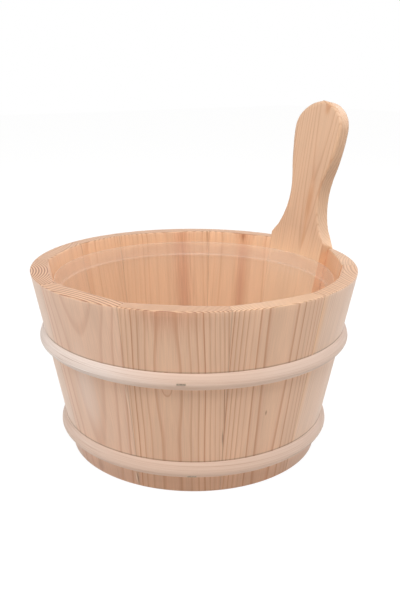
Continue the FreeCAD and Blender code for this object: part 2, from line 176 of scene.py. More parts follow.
def ringCount(tree, board, upBoard, look):
    # how many growth rings lie between the pith and a point
    slow = add(tree, "Mapping", None, board, (look["seed"] * 50, 0, 0), (0, 0, 0),
               grain["swirlScale"])
    swirl = add(tree, "TexNoise", None, slow,
                named={"Scale": 1.0, "Detail": 2.0, "Roughness": 0.5})
    swirl = add(tree, "VectorMath", "SUBTRACT", swirl.outputs["Color"], (0.5, 0.5, 0.5))
    outward, sideways = [reach * look["waver"] for reach in grain["swirlReach"]]
    swirl = add(tree, "VectorMath", "MULTIPLY", swirl, (outward, sideways, 0))
    pith = add(tree, "Mapping", {"vector_type": "TEXTURE"}, board, (*look["pith"], 0),
               (math.atan(look["drift"]), 0, 0), (1, 1, 1))
    pith = add(tree, "VectorMath", "ADD", pith, swirl)
    flat = add(tree, "VectorMath", "MULTIPLY", pith, (1, 1, 0))
    away = add(tree, "VectorMath", "LENGTH", flat).outputs["Value"]
    count = add(tree, "Math", "MULTIPLY_ADD", away, 1 / look["ring"], look["phase"])
    count = add(tree, "Math", "MULTIPLY_ADD", upBoard, look["taper"], count)
    for across, up, width, height, rings in look["bulges"]:
        away = spotDistance(tree, board, across, up, width, height)
        swell = add(tree, "MapRange", {"interpolation_type": "SMOOTHERSTEP"}, away,
                    0.0, 1.0, rings, 0.0)
        count = add(tree, "Math", "ADD", count, swell)
    uneven = add(tree, "Math", "MULTIPLY", count, grain["unevenPitch"])
    uneven = add(tree, "Math", "SINE", uneven)
    return add(tree, "Math", "MULTIPLY_ADD", uneven, look["uneven"], count)


def pineMaterial(name, turn, halfSpan, look):
    look = {**plainPine, **look}
    material, tree = newMaterial(name)
    middle = math.radians(turn)
    middleRadius = wallRadius(rimLevel / 2) * mm
    place = (axisX + middleRadius * math.cos(middle), middleRadius * math.sin(middle),
             rimLevel / 2 * mm)
    spot = add(tree, "TexCoord").outputs["Object"]
    # x out of the face, y across it and z along the fibres, in mm
    board = add(tree, "Mapping", {"vector_type": "TEXTURE"}, spot, place,
                (0, lean, middle), (mm, mm, mm))
    parts = add(tree, "SeparateXYZ", None, board)
    level = add(tree, "SeparateXYZ", None, spot).outputs["Z"]

    # latewood ends each ring, and is deeper in some years than in others
    count = ringCount(tree, board, parts.outputs["Z"], look)
    year = add(tree, "Math", "FLOOR", count)
    depth = add(tree, "TexWhiteNoise", {"noise_dimensions": "1D"}, named={"W": year})
    depth = add(tree, "MapRange", None, depth.outputs["Value"], 0.0, 0.8, *grain["yearDepth"])
    season = add(tree, "Math", "FRACT", count)
    ring = add(tree, "ValToRGB", {"stops": grain["faceYear"]}, season)
    latewood = add(tree, "Math", "MULTIPLY", ring, depth)

    # fibres 0.6 mm across and about 30 mm long, and soft clouds of colour
    fibreSpace = add(tree, "Mapping", None, board, (0, 0, look["seed"]), (0, 0, 0),
                     grain["fibreScale"])
    fibre = add(tree, "TexNoise", None, fibreSpace,
                named={"Scale": 1.0, "Detail": 3.0, "Roughness": 0.6})
    cloudSpace = add(tree, "Mapping", None, board, (look["seed"] * 9, 0, 0), (0, 0, 0),
                     grain["cloudScale"])
    cloud = add(tree, "TexNoise", None, cloudSpace, named={"Scale": 1.0, "Detail": 2.0})

    share = add(tree, "Math", "MULTIPLY", latewood, look["contrast"])
    wood = add(tree, "Mix", {"data_type": "RGBA"}, share,
               named={6: linear(look["early"]), 7: linear(look["late"])}).outputs[2]
    layers = []  # each a share, and the colour that it lays over what is there
    # the hollowed inside: painted warmer for the light bounced round the hollow, and with fainter
    # lines
    inside = add(tree, "MapRange", None, parts.outputs["X"], *look["faceDepth"], 1.0, 0.0)
    low, high = [(rimLevel + edge) * mm for edge in grain["insideEdge"]]
    below = add(tree, "MapRange", None, level, low, high, 1.0, 0.0)
    inside = add(tree, "Math", "MULTIPLY", inside, below)
    share = add(tree, "Math", "MULTIPLY", share, look["innerContrast"])
    bounceWarmed = add(tree, "Mix", {"data_type": "RGBA"}, share,
                 named={6: linear(look["inner"]), 7: linear(look["innerLate"])})
    layers.append((inside, bounceWarmed.outputs[2]))
    # darker and redder towards the foot
    low, high = [edge * mm for edge in grain["footTintEdge"]]
    footTinted = add(tree, "MapRange", None, level, low, high, look["footTint"], 0.0)
    layers.append((footTinted, linear(grain["footTintColour"])))
    # heartwood stripes, knots and resin flecks, with edges torn by the fibres
    for across, up, width, height, strength, colour in look["patches"]:
        away = spotDistance(tree, board, across, up, width, height)
        ragged = add(tree, "Math", "MULTIPLY_ADD", fibre, grain["patchRag"], away)
        patch = add(tree, "MapRange", {"interpolation_type": "SMOOTHERSTEP"}, ragged,
                    *grain["patchEdge"], strength, 0.0)
        layers.append((patch, linear(colour)))
    # end grain on the rim: sharper, darker latewood
    low, high = [(rimLevel + edge) * mm for edge in grain["endEdge"]]
    atRim = add(tree, "MapRange", None, level, low, high, 0.0, look["endShare"])
    endRing = add(tree, "ValToRGB", {"stops": grain["endYear"]}, season)
    endRing = add(tree, "Math", "MULTIPLY", endRing, look["endContrast"])
    endWood = add(tree, "Mix", {"data_type": "RGBA"}, endRing,
                  named={6: linear(look["endEarly"]), 7: linear(look["endLate"])})
    layers.append((atRim, endWood.outputs[2]))
    for share, colour in layers:
        wood = add(tree, "Mix", {"data_type": "RGBA"}, share,
                   named={6: wood, 7: colour}).outputs[2]

    bright = add(tree, "MapRange", None, fibre, 0.3, 0.7, *grain["fibreLight"])
    warm = add(tree, "MapRange", None, cloud, 0.3, 0.7, *grain["cloudLight"])
    lights = [add(tree, "Math", "MULTIPLY", bright, warm)]
    # the glued joint: a dark line along both sides of the board
    flatTurn = add(tree, "Mapping", {"vector_type": "TEXTURE"}, spot, (axisX, 0, 0),
                   (0, 0, middle), (mm, mm, mm))
    turnParts = add(tree, "SeparateXYZ", None, flatTurn)
    sideAngle = math.radians(halfSpan)
    aside = add(tree, "Math", "ABSOLUTE", turnParts.outputs["Y"])
    aside = add(tree, "Math", "MULTIPLY", aside, -math.cos(sideAngle))
    aside = add(tree, "Math", "MULTIPLY_ADD", turnParts.outputs["X"], math.sin(sideAngle), aside)
    ragged = add(tree, "Math", "MULTIPLY_ADD", fibre, grain["jointRag"], aside)
    lights.append(add(tree, "MapRange", None, ragged, *grain["jointEdge"],
                      look["jointLight"], 1.0))
    # a thin line of painted shade in the corner above each hoop, outside only
    for seatLine in pail["seatLines"]:
        off = add(tree, "Math", "SUBTRACT", level, seatLine * mm)
        off = add(tree, "Math", "ABSOLUTE", off)
        off = add(tree, "MapRange", {"interpolation_type": "SMOOTHSTEP"}, off,
                  0.4 * pail["seatLineHalf"] * mm, 1.6 * pail["seatLineHalf"] * mm,
                  grain["seatShadeLight"], 1.0)
        lights.append(add(tree, "Math", "MAXIMUM", off, inside))
    for light in lights:
        wood = add(tree, "VectorMath", "SCALE", wood, named={"Scale": light})

    # latewood and fibres stand a little proud of the planed face
    relief = add(tree, "Math", "MULTIPLY", latewood, 0.3)
    relief = add(tree, "Math", "MULTIPLY_ADD", fibre, 0.5, relief)
    bump = add(tree, "Bump", None, named={
        "Strength": grain["bump"], "Distance": grain["bumpDepth"] * mm, "Height": relief})
    shader = add(tree, "BsdfPrincipled", None, named={
        "Base Color": wood, "Roughness": grain["roughness"], "IOR": 1.5, "Normal": bump,
        "Sheen Weight": grain["sheen"], "Sheen Roughness": grain["sheenRoughness"]})
    add(tree, "OutputMaterial", None, shader)
    return material


def meshPiece(name, points, faces, material, sharpAngle=35):
    # points in mm about the pail's axis
    mesh = bpy.data.meshes.new(name)
    mesh.from_pydata([(x * mm + axisX, y * mm, z * mm) for x, y, z in points], [], faces)
    shape = bmesh.new()
    shape.from_mesh(mesh)
    bmesh.ops.remove_doubles(shape, verts=shape.verts, dist=0.002 * mm)
    bmesh.ops.dissolve_degenerate(shape, edges=shape.edges, dist=0.001 * mm)
    bmesh.ops.recalc_face_normals(shape, faces=shape.faces)
    shape.to_mesh(mesh)
    shape.free()
    mesh.shade_smooth()
    mesh.set_sharp_from_angle(angle=math.radians(sharpAngle))
    mesh.materials.append(material)
    return placed(name, mesh)


def settle(piece, body, slot, *nodes):
    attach(piece, body)
    if nodes:
        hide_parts(*nodes)


def loftFaces(rows, columns):
    # quads between rows of closed loops
    faces = []
    for row in range(rows - 1):
        for column in range(columns):
            after = (column + 1) % columns
            faces.append((row * columns + column, row * columns + after,
                          (row + 1) * columns + after, (row + 1) * columns + column))
    return faces


# Ten plain staves: sectors of one turned cone, each hollowed about an axis of its own
staves = {
    "handleSpan": 31.0,  # degrees, taken by the handle stave
    "widthShares": [30.0, 43.0, 22.0, 30.0, 33.5, 35.5, 34.0, 33.0, 42.0, 26.0],
    # how flat each hollow is, from 0, as round as the rim, to 1, flat
    "flatShares": [0.5, 0.4, 0.5, 0.5, 0.55, 0.74, 0.6, 0.45, 0.15, 0.63],
    # the last stave is planed thinner beside the handle: degrees, degrees and mm
    "thinTurn": -12, "thinReach": 25, "thinCorner": 120.6,
    "ease": 0.16, "easeWidth": 0.25, "columnWidth": 1.0, "rowHeight": 4.0,
    # chips out of the rim: mm deep, mm apart, then the pace, row and threshold of each noise
    "chipDepth": 0.9, "chipPitch": 3.0, "chips": ((1.0, 3.7, 0.12), (3.1, 8.1, 0.25)),
    "rimPerDegree": 2.2, "splinterPace": 0.11, "splinterReach": 1.5,
}
red, brown, crack, split = "#CC8763", "#8A5230", "#6B3F28", "#F1DCC6"
staveLooks = [
    {"pith": (90, -6), "seed": 1, "innerContrast": 0.6,
     "patches": ((-4, 20, 8, 90, 0.6, red), (-2.5, 71, 5, 11, 0.75, "#AF693F"))},
    {"pith": (75, -14), "ring": 2.2, "seed": 2, "innerContrast": 0.5,
     "patches": ((-16, 20, 13, 130, 0.6, red), (-40, 66, 1.6, 30, 0.35, brown))},
    {"pith": (60, 30), "ring": 2.0, "seed": 3, "innerContrast": 0.5},
    {"pith": (80, 0), "seed": 4, "inner": "#F2C49E"},
    {"pith": (46, -5), "ring": 2.05, "seed": 5, "waver": 0.0, "uneven": 0.0,
     "early": "#EDCDB6", "contrast": 0.18, "inner": "#F3C7A2", "endContrast": 0.95},
    {"pith": (156, 4), "ring": 3.0, "taper": -0.01, "drift": -0.03, "seed": 6, "phase": 0.48,
     "uneven": 0.0, "bulges": ((4, 90, 200, 60, -0.5),),
     "early": "#EBC4A9", "contrast": 0.5, "endContrast": 0.8,
     "patches": ((-3, 0, 18, 50, 0.6, "#F3DACA"), (-5, -66, 5, 12, 0.4, "#A96A4C"),
                 (33, 4, 0.7, 22, 0.6, split), (28.4, -66, 0.7, 8, 0.8, split),
                 (29.6, -66, 0.6, 8, 0.7, crack))},
    {"pith": (50, -6.3), "ring": 2.2, "seed": 7, "phase": -0.13, "uneven": 0.0,
     "bulges": ((-6, 20, 60, 55, -0.3), (-6, 18, 7.5, 17, -1.15)), "endContrast": 0.8,
     "patches": ((-3, 85, 42, 42, 0.6, red), (30.6, -27, 0.9, 10, 0.5, crack),
                 (31.8, 0, 0.6, 24, 0.5, brown))},
    {"pith": (60, 3), "ring": 1.95, "taper": -0.003, "drift": 0.02, "seed": 8, "phase": 0.53,
     "uneven": 0.0, "endEarly": "#E6BD98", "endContrast": 0.6,
     "patches": ((-1.3, -10, 0.9, 3.5, 0.8, brown),)},
    {"pith": (60, 60), "ring": 2.6, "seed": 9, "early": "#EDCAB0", "contrast": 0.25,
     "endEarly": "#D6AC88", "endContrast": 0.5},
    {"pith": (60, -40), "ring": 2.2, "seed": 10, "early": "#E2B28C", "contrast": 0.4,
     "inner": "#EDB688", "innerLate": "#C98A5E", "faceDepth": (-3.5, -2.5),
     "endEarly": "#D6AE8B", "endContrast": 0.3, "jointLight": 0.92},
]


def staveSectors():
    total = sum(staves["widthShares"])
    start = staves["handleSpan"] / 2
    for share in staves["widthShares"]:
        span = (360 - staves["handleSpan"]) * share / total
        yield start + span / 2, span / 2
        start += span


def hollowRadius(index, halfSpan, angle, level):
    # the inner face's distance from the pail's axis at an angle from the board's middle
    if index == len(staves["widthShares"]) - 1:
        corner, reach, turn = staves["thinCorner"], staves["thinReach"], staves["thinTurn"]
    else:
        corner, reach, turn = pail["innerRim"], halfSpan, 0
    cosReach = math.cos(math.radians(reach))
    depth = 1 - staves["flatShares"][index] * (1 - cosReach)
    away = corner * (1 - depth ** 2) / (2 * (depth - cosReach))
    hollow = away + corner * depth - (rimLevel - level) * slope
    offset = np.radians(angle - turn)
    return -away * np.cos(offset) + np.sqrt(hollow ** 2 - (away * np.sin(offset)) ** 2)


def staveProfile(index, halfSpan, angle, seed):
    # one closed outline of radius and level, at one angle across the board
    edgeGap = math.radians(halfSpan - abs(angle)) * pail["rimRadius"]
    ease = staves["ease"] if edgeGap < 1e-6 else 0.0  # only the two sides are eased
    top, bevel = rimLevel, pail["footBevel"] + ease
    along = (angle + seed * 40) * staves["rimPerDegree"] / staves["chipPitch"]
    chip = sum(max(0.0, noise.noise(Vector((along * pace, row, 0))) - threshold)
               for pace, row, threshold in staves["chips"]) * staves["chipDepth"]
    corner = pail["rimOuterRound"] + chip + ease
    outline = []
    for level in np.linspace(bevel, top - corner, int(top / staves["rowHeight"])):
        tear = noise.noise(Vector((level * staves["splinterPace"], seed * 5, angle)))
        splinter = ease * (1 + staves["splinterReach"] * max(0, tear))
        outline.append((wallRadius(level) - splinter, level))
    for step in range(1, 5):
        bend = math.radians(90 * step / 4)
        outline.append((wallRadius(top - corner) - corner * (1 - math.cos(bend)),
                        top - corner + (corner - ease) * math.sin(bend)))
    inner = hollowRadius(index, halfSpan, angle, top)
    innerCorner = pail["rimInnerRound"]
    start, stop = outline[-1][0], inner + innerCorner
    for step in range(1, 6):
        outline.append((start + (stop - start) * step / 6, top - ease))
    for step in range(4):
        bend = math.radians(90 * step / 3)
        outline.append((inner + innerCorner * (1 - math.sin(bend)) + ease,
                        top - ease - innerCorner * (1 - math.cos(bend))))
    for level in np.linspace(top - innerCorner, pail["crozeRoof"], 26)[1:]:
        outline.append((hollowRadius(index, halfSpan, angle, level) + ease, level))
    outline.append((pail["crozeRadius"], pail["crozeRoof"]))
    outline.append((pail["crozeRadius"], pail["crozeFloor"]))
    for level in (pail["crozeFloor"], 5.0, bevel):
        outline.append((hollowRadius(index, halfSpan, angle, level) + ease, level))
    outline.append((hollowRadius(index, halfSpan, angle, 0) + bevel, ease))
    outline.append((wallRadius(0) - bevel, ease))
    return outline


def makeStave(index, middle, halfSpan):
    name = f"stave_{index + 1:02d}"
    easeAngle = math.degrees(staves["easeWidth"] / pail["rimRadius"])
    count = int(math.radians(halfSpan * 2) * pail["rimRadius"] / staves["columnWidth"])
    inside = np.linspace(-halfSpan + easeAngle, halfSpan - easeAngle, count)
    angles = [-halfSpan, *inside, halfSpan]
    points = []
    for angle in angles:
        turn = math.radians(middle + angle)
        for radius, level in staveProfile(index, halfSpan, angle, index + 1):
            points.append((radius * math.cos(turn), radius * math.sin(turn), level))
    columns = len(points) // len(angles)
    faces = loftFaces(len(angles), columns)
    faces.append(tuple(range(columns)))
    faces.append(tuple(reversed(range(len(points) - columns, len(points)))))
    material = pineMaterial(f"planed pine {index + 1}", middle, halfSpan, staveLooks[index])
    piece = meshPiece(f"pine_{name}", points, faces, material)
    settle(piece, "pail", "stave_pine", name)


for index, (middle, halfSpan) in enumerate(staveSectors()):
    makeStave(index, middle, halfSpan)
print("staves made")


# Handle stave: one board, flat inside and coned outside, sawn to a paddle above the rim. Its rows
# are level below the rim and square to the board above it; v runs up the board from the rim,
# u across it and w through it from the flat face.
handle = {  # mm
    "length": 121.0, "neckLevel": 43.5, "halfNeck": 16.9, "halfBlade": 27.2, "thickness": 14.9,
    "dropShare": 0.853, "cornerShare": 0.733, "crookShare": 0.35, "shoulderRise": 2.2,
    # radii of the long edges: both inner ones and the outer ones on the blade, and all on the neck
    "innerRound": (2.4, 6.4), "outerRound": 3.6, "neckRound": 1.6,
    # v where the rounding starts and is whole, and the same past the neck for the blade's radii
    "roundStart": (6, 14), "bladeStart": (8, 40), "squareBy": 40, "outerTrim": 0.97,
    "faceColumns": 20, "roundSteps": 7, "sideSteps": 6,
    # rows above the rim: from, to and count, then the crown's reach, count and crowding
    "rows": ((0.8, 8, 10), (9, 104, 84)), "crownRows": (16, 26, 1.8),
}
handleLook = {
    "pith": (3.5, -3.8), "ring": 2.0, "taper": -0.0175, "drift": 0.035, "phase": 0.93,
    "seed": 11, "waver": 0.2, "uneven": 0.0, "faceDepth": (-4.0, -2.0),
    "patches": ((-7.6, 107, 6, 34, 0.6, "#C98A58"), (-8, 80, 2.5, 22, 0.35, "#CB8C58"),
                (-10, 184, 5, 9, 0.4, "#CB8C58")),
    "early": "#DBB391", "late": "#B57C56", "contrast": 0.43,
    "inner": "#F2C8A1", "innerLate": "#D39D70", "innerContrast": 0.45,
    "endShare": 0.0, "jointLight": 1.0,
}
handleHalf = math.radians(staves["handleSpan"] / 2)
flatAway = pail["innerRim"] * math.cos(handleHalf)


def paddleHalf(v):
    # half the paddle's width at v
    neck, blade, neckLevel = handle["halfNeck"], handle["halfBlade"], handle["neckLevel"]
    drop = handle["dropShare"] * blade
    bladeLevel = handle["length"] - drop
    rise, spread = bladeLevel - neckLevel, blade - neck
    crook = (rise ** 2 + spread ** 2) / (2 * spread)
    corner = handle["cornerShare"] * blade
    crown = ((blade - corner) ** 2 + drop ** 2 - corner ** 2) / (2 * (drop - corner))
    flareRun = pail["rimRadius"] * math.sin(handleHalf) - neck
    flare = (flareRun ** 2 + (neckLevel - handle["shoulderRise"]) ** 2) / (2 * flareRun)
    if v < neckLevel:  # the flare up from the rim
        return neck + flare - math.sqrt(max(flare ** 2 - (neckLevel - v) ** 2, 0))
    if v < neckLevel + handle["crookShare"] * rise:  # then an S out to the blade
        bend = handle["crookShare"] * crook
        return neck + bend - math.sqrt(bend ** 2 - (v - neckLevel) ** 2)
    if v < bladeLevel:
        bend = (1 - handle["crookShare"]) * crook
        return blade - bend + math.sqrt(bend ** 2 - (bladeLevel - v) ** 2)
    crownLevel = handle["length"] - crown
    join = crownLevel + (bladeLevel - crownLevel) * crown / (crown - corner)
    if v < join:  # a round corner, and a flatter crown
        return blade - corner + math.sqrt(corner ** 2 - (v - bladeLevel) ** 2)
    return math.sqrt(max(crown ** 2 - (v - crownLevel) ** 2, 0))


# points along the paddle's outline, crowded at its crown, from which the rounding is measured
crownReach = 11
outlineLevels = np.concatenate([
    np.linspace(handle["roundStart"][0], handle["length"] - crownReach, 260),
    handle["length"] - crownReach * np.linspace(1, 0, 120) ** 2,
])
outlineHalf = np.array([paddleHalf(v) for v in outlineLevels])


def edgeDistance(u, v):
    # distance in the board's plane from the paddle's outline
    return float(np.sqrt((outlineHalf - abs(u)) ** 2 + (outlineLevels - v) ** 2).min())


def coneDepth(u, v):
    # w of the outer, coned face, found in a few rounds from the board's thickness
    w = handle["thickness"]
    for _ in range(6):
        level = rimLevel + v * leanCos - w * leanSin
        reach = math.sqrt(wallRadius(level) ** 2 - u ** 2)
        w = (reach - flatAway - v * leanSin) / leanCos
    return w


def handlePoint(u, v, w):
    return flatAway + v * leanSin + w * leanCos, u, rimLevel + v * leanCos - w * leanSin


def smooth(value, low, high):
    share = min(max((value - low) / (high - low), 0), 1)
    return share * share * (3 - 2 * share)


def roundedDrop(radius, distance):
    if distance >= radius or radius < 0.01:
        return 0.0
    return radius - math.sqrt(max(radius ** 2 - (radius - distance) ** 2, 0))


def faceInsets(radius):
    steps = handle["roundSteps"]
    return [radius * (1 - math.cos(math.radians(90 * step / steps))) for step in range(steps + 1)]


def halfSpreads(half, radius):
    # places across a face from its edge to its middle, close together over the rounding
    leastRadius, leastRoom = 0.4, 1.5
    near = faceInsets(max(radius, leastRadius))
    room = half - near[-1]
    if room < leastRoom:
        near = [inset * max(half - leastRoom, half * 0.5) / near[-1] for inset in near]
        room = half - near[-1]
    count = handle["faceColumns"] // 2
    return [half - inset for inset in near] + [room * (1 - step / count)
                                               for step in range(1, count + 1)]


def handleRow(v0, shear, groove):
    # one closed loop: flat face, right side, coned face, left side
    above = smooth(v0, *handle["roundStart"])
    low, high = [handle["neckLevel"] + rise for rise in handle["bladeStart"]]
    bladeShare = smooth(v0, low, high)
    neckRound = handle["neckRound"]
    innerRound = [above * (neckRound + (full - neckRound) * bladeShare)
                  for full in handle["innerRound"]]
    outerRound = above * (neckRound + (handle["outerRound"] - neckRound) * bladeShare)

    def halfAt(w):
        v = v0 + shear * w
        reach = flatAway + v * leanSin + w * leanCos
        side = reach * math.tan(handleHalf) - staves["ease"] / 2
        if v <= 0:
            return side
        return min(side, paddleHalf(v)) if v < handle["neckLevel"] else paddleHalf(v)

    def innerDepth(u):
        if groove:
            level = rimLevel + v0 * leanCos
            reach = math.sqrt(pail["crozeRadius"] ** 2 - u ** 2)
            return (reach - flatAway - v0 * leanSin) / leanCos
        if above <= 0:
            return 0.0
        # the rounding grows from the left edge's radius to the right edge's
        share = smooth(u / max(halfAt(0), 0.01), -0.8, 0.8)
        radius = innerRound[0] + (innerRound[1] - innerRound[0]) * share
        return roundedDrop(radius, edgeDistance(u, v0))

    def outerDepth(u):
        v = v0 + shear * coneDepth(0, v0)
        drop = roundedDrop(outerRound, edgeDistance(u, v)) if above > 0 else 0.0
        return coneDepth(u, v) - drop

    grooveDepth = innerDepth(0) if groove else 0.0
    halfInner = halfAt(grooveDepth)
    halfOuter = halfAt(coneDepth(halfInner, v0) * handle["outerTrim"])
    leftSpread = halfSpreads(halfInner, innerRound[0])
    rightSpread = halfSpreads(halfInner, innerRound[1])
    across = [-u for u in leftSpread] + rightSpread[::-1][1:]
    loop = [(u, innerDepth(u)) for u in across]
    wLow, wHigh = loop[-1][1], outerDepth(halfOuter)
    for step in range(1, handle["sideSteps"]):
        w = wLow + (wHigh - wLow) * step / handle["sideSteps"]
        loop.append((halfAt(w), w))
    outerSpread = halfSpreads(halfOuter, outerRound)
    outerAcross = outerSpread + [-u for u in outerSpread[::-1][1:]]
    loop += [(u, outerDepth(u)) for u in outerAcross]
    wLow, wHigh = loop[0][1], outerDepth(-halfOuter)
    for step in range(handle["sideSteps"] - 1, 0, -1):
        w = wLow + (wHigh - wLow) * step / handle["sideSteps"]
        loop.append((-halfAt(w), w))
    return [handlePoint(u, v0 + shear * w, w) for u, w in loop]


def makeHandleStave():
    flatShear = math.tan(lean)
    floor, roof = pail["crozeFloor"], pail["crozeRoof"]
    rows = [(level, False) for level in (0.0, 0.8, 5.0, floor)]
    rows += [(floor, True), (roof, True), (roof, False)]
    rows += [(level, False) for level in np.linspace(20, rimLevel, 30)]
    loops = [handleRow((level - rimLevel) / leanCos, flatShear, groove)
             for level, groove in rows]
    risers = [v for span in handle["rows"] for v in np.linspace(*span)]
    reach, count, crowding = handle["crownRows"]
    risers += list(handle["length"] - reach * np.linspace(1, 0, count) ** crowding)
    for v in risers:
        loops.append(handleRow(v, flatShear * (1 - smooth(v, 0, handle["squareBy"])), False))
    columns = len(loops[0])
    points = [point for loop in loops for point in loop]
    faces = loftFaces(len(loops), columns)
    faces.append(tuple(reversed(range(columns))))
    material = pineMaterial("sanded pine handle", 0, staves["handleSpan"] / 2, handleLook)
    piece = meshPiece("pine_handle_stave", points, faces, material)
    settle(piece, "pail", "handle_pine", "handle_stave")


makeHandleStave()
print("handle stave made")


# Hoops: split rods bent round the wall, with the bark shaved off, so they show long torn fibres
# on a shaved upper face. The ends lie over each other in a flat scarf.
hoops = {  # mm
    "height": 12.5, "proud": 5.0, "seat": 0.1, "blunt": 0.3, "scarfInset": 0.5, "scarfGap": 0.3,
    # the front's share of flat facet, how sharp its ridge is, and how far down the ridge lies
    "facetShare": 0.6, "ridgeSharpness": 1.45, "ridgeSag": 0.12,
    "tornAlong": 7.0, "tornAround": 7.5,  # ridges per radian along the hoop and round the rod
    "alongCount": 720, "aroundCount": 49,
    # darker tints round the hoop: degrees round, the cosines where one starts and is full, and its
    # share
    "upper_hoop": {"level": 92.2, "scarf": 68, "roughness": 0.4, "seed": 3.0,
                   "tints": ((-128, 0.88, 1.0, 0.3), (-60, -0.17, 0.34, 0.45))},
    "lower_hoop": {"level": 20.2, "scarf": 108, "roughness": 0.14, "seed": 9.0,
                   "tints": ((-128, 0.7, 1.0, 0.3), (-128, -2.0, -1.0, 0.48))},
    "fibreAcross": 1.5, "fibreRound": 2.6, "darkTint": "#D6AE92", "surfaceRoughness": 0.55,
    "bump": 0.7, "bumpDepth": 0.25, "sheen": 0.18, "sheenRoughness": 0.4,
    "fibreTints": [(0.28, "#BFA393"), (0.42, "#E2CFC3"), (0.58, "#EBDBD1"), (0.75, "#F8F0EA")],
}


def hoopTree(material):
    sizes = ("SeatRadius", "Level", "Proud", "HalfHeight", "Lean", "ScarfAngle", "ScarfInset",
             "ScarfGap", "Roughness", "Seed")
    tree = bpy.data.node_groups.new("bentHoop", "GeometryNodeTree")
    tree.interface.new_socket("Mesh", in_out="INPUT", socket_type="NodeSocketGeometry")
    for label in sizes:
        tree.interface.new_socket(label, in_out="INPUT", socket_type="NodeSocketFloat")
    for label in ("AlongCount", "AroundCount"):
        tree.interface.new_socket(label, in_out="INPUT", socket_type="NodeSocketInt")
    tree.interface.new_socket("Mesh", in_out="OUTPUT", socket_type="NodeSocketGeometry")
    given = add(tree, "NodeGroupInput").outputs

    grid = add(tree, "GeometryNodeMeshGrid", None, 1.0, 1.0, given["AlongCount"],
               given["AroundCount"])
    place = add(tree, "SeparateXYZ", None, add(tree, "GeometryNodeInputPosition"))
    blunt = hoops["blunt"] * mm
    values = {label: given[label] for label in sizes}
    values.update({"x": place.outputs["X"], "y": place.outputs["Y"]})
    # a row is a new name, what is done, and the names or numbers that it is done with
    sums = [
        ("along", "ADD", "x", 0.5),
        ("around", "MULTIPLY", "y", 2 * math.pi),
        # the scarf's cut, and the angles where the rod starts on the wall and runs out on top
        ("cut", "SUBTRACT", "SeatRadius", "ScarfInset"),
        ("bluntRadius", "ADD", "SeatRadius", blunt),
        ("startShare", "DIVIDE", "cut", "bluntRadius"),
        ("startAngle", "ARCCOSINE", "startShare"),
        ("crestHeight", "SUBTRACT", "Proud", 2 * blunt),
        ("crest", "ADD", "SeatRadius", "crestHeight"),
        ("gapRadius", "ADD", "cut", "ScarfGap"),
        ("stopShare", "DIVIDE", "gapRadius", "crest"),
        ("stopAngle", "ARCCOSINE", "stopShare"),
        ("extra", "SUBTRACT", "stopAngle", "startAngle"),
        ("sweep", "ADD", "extra", 2 * math.pi),
        ("angle", "MULTIPLY_ADD", "along", "sweep", "startAngle"),
        # under the cut near the start, and lying on it past a whole turn
        ("early", "MINIMUM", "angle", 1.0),
        ("earlyCos", "COSINE", "early"),
        ("earlyCut", "DIVIDE", "cut", "earlyCos"),
        ("topLimit", "SUBTRACT", "earlyCut", "SeatRadius"),
        ("pastTurn", "SUBTRACT", "angle", 2 * math.pi),
        ("late", "MAXIMUM", "pastTurn", 0.0),
        ("lateCos", "COSINE", "late"),
        ("lateCut", "DIVIDE", "cut", "lateCos"),
        ("lateHeight", "SUBTRACT", "lateCut", "SeatRadius"),
        ("laidHeight", "ADD", "lateHeight", "ScarfGap"),
        ("underside", "MAXIMUM", "laidHeight", 0.0),
        # section: flat back, and a rounded front that was shaved to an upper and a lower facet
        ("cosAround", "COSINE", "around"),
        ("round", "MAXIMUM", "cosAround", 0.0),
        ("sinAround", "SINE", "around"),
        ("aside", "ABSOLUTE", "sinAround"),
        ("steep", "POWER", "aside", hoops["ridgeSharpness"]),
        ("gable", "SUBTRACT", 1.0, "steep"),
        ("facet", "MULTIPLY", "gable", hoops["facetShare"]),
        ("bow", "MULTIPLY_ADD", "round", 1 - hoops["facetShare"], "facet"),
        ("front", "GREATER_THAN", "cosAround", 0.0),
        ("bowed", "MULTIPLY", "bow", "front"),
        ("room", "SUBTRACT", "Proud", "underside"),
        ("plainHeight", "MULTIPLY_ADD", "bowed", "room", "underside"),
        ("share", "DIVIDE", "underside", "Proud"),
        ("shareSquared", "MULTIPLY", "share", "share"),
        ("rest", "SUBTRACT", 1.0, "shareSquared"),
        ("narrow", "SQRT", "rest"),
        ("halfWidth", "MULTIPLY", "HalfHeight", "narrow"),
        ("level0", "MULTIPLY", "sinAround", "halfWidth"),
        ("sag", "MULTIPLY", "bowed", "halfWidth"),
        ("across", "MULTIPLY_ADD", "sag", -hoops["ridgeSag"], "level0"),
        # torn fibres: long thin ridges that follow the bend
        ("ridgeAlong", "MULTIPLY", "angle", hoops["tornAlong"]),
        ("ridgeAround", "MULTIPLY", "around", hoops["tornAround"]),
    ]
    lastSums = [
        ("ridge", "SUBTRACT", "torn", 0.5),
        ("ridgeHeight", "MULTIPLY", "ridge", "Roughness"),
        ("ridgeDouble", "MULTIPLY", "ridgeHeight", 2.0),
        ("ridgeBowed", "MULTIPLY", "ridgeDouble", "bowed"),
        ("rough", "ADD", "plainHeight", "ridgeBowed"),
        ("clear", "MAXIMUM", "rough", "underside"),
        ("height", "MINIMUM", "clear", "topLimit"),
        ("cosLean", "COSINE", "Lean"),
        ("sinLean", "SINE", "Lean"),
        ("reachOut", "MULTIPLY_ADD", "height", "cosLean", "SeatRadius"),
        ("reach", "MULTIPLY_ADD", "across", "sinLean", "reachOut"),
        ("raised", "MULTIPLY_ADD", "across", "cosLean", "Level"),
        ("sunk", "MULTIPLY", "height", "sinLean"),
        ("level", "SUBTRACT", "raised", "sunk"),
        ("turn", "ADD", "angle", "ScarfAngle"),
        ("cosTurn", "COSINE", "turn"),
        ("sinTurn", "SINE", "turn"),
        ("placeX", "MULTIPLY_ADD", "reach", "cosTurn", axisX),
        ("placeY", "MULTIPLY", "reach", "sinTurn"),
    ]

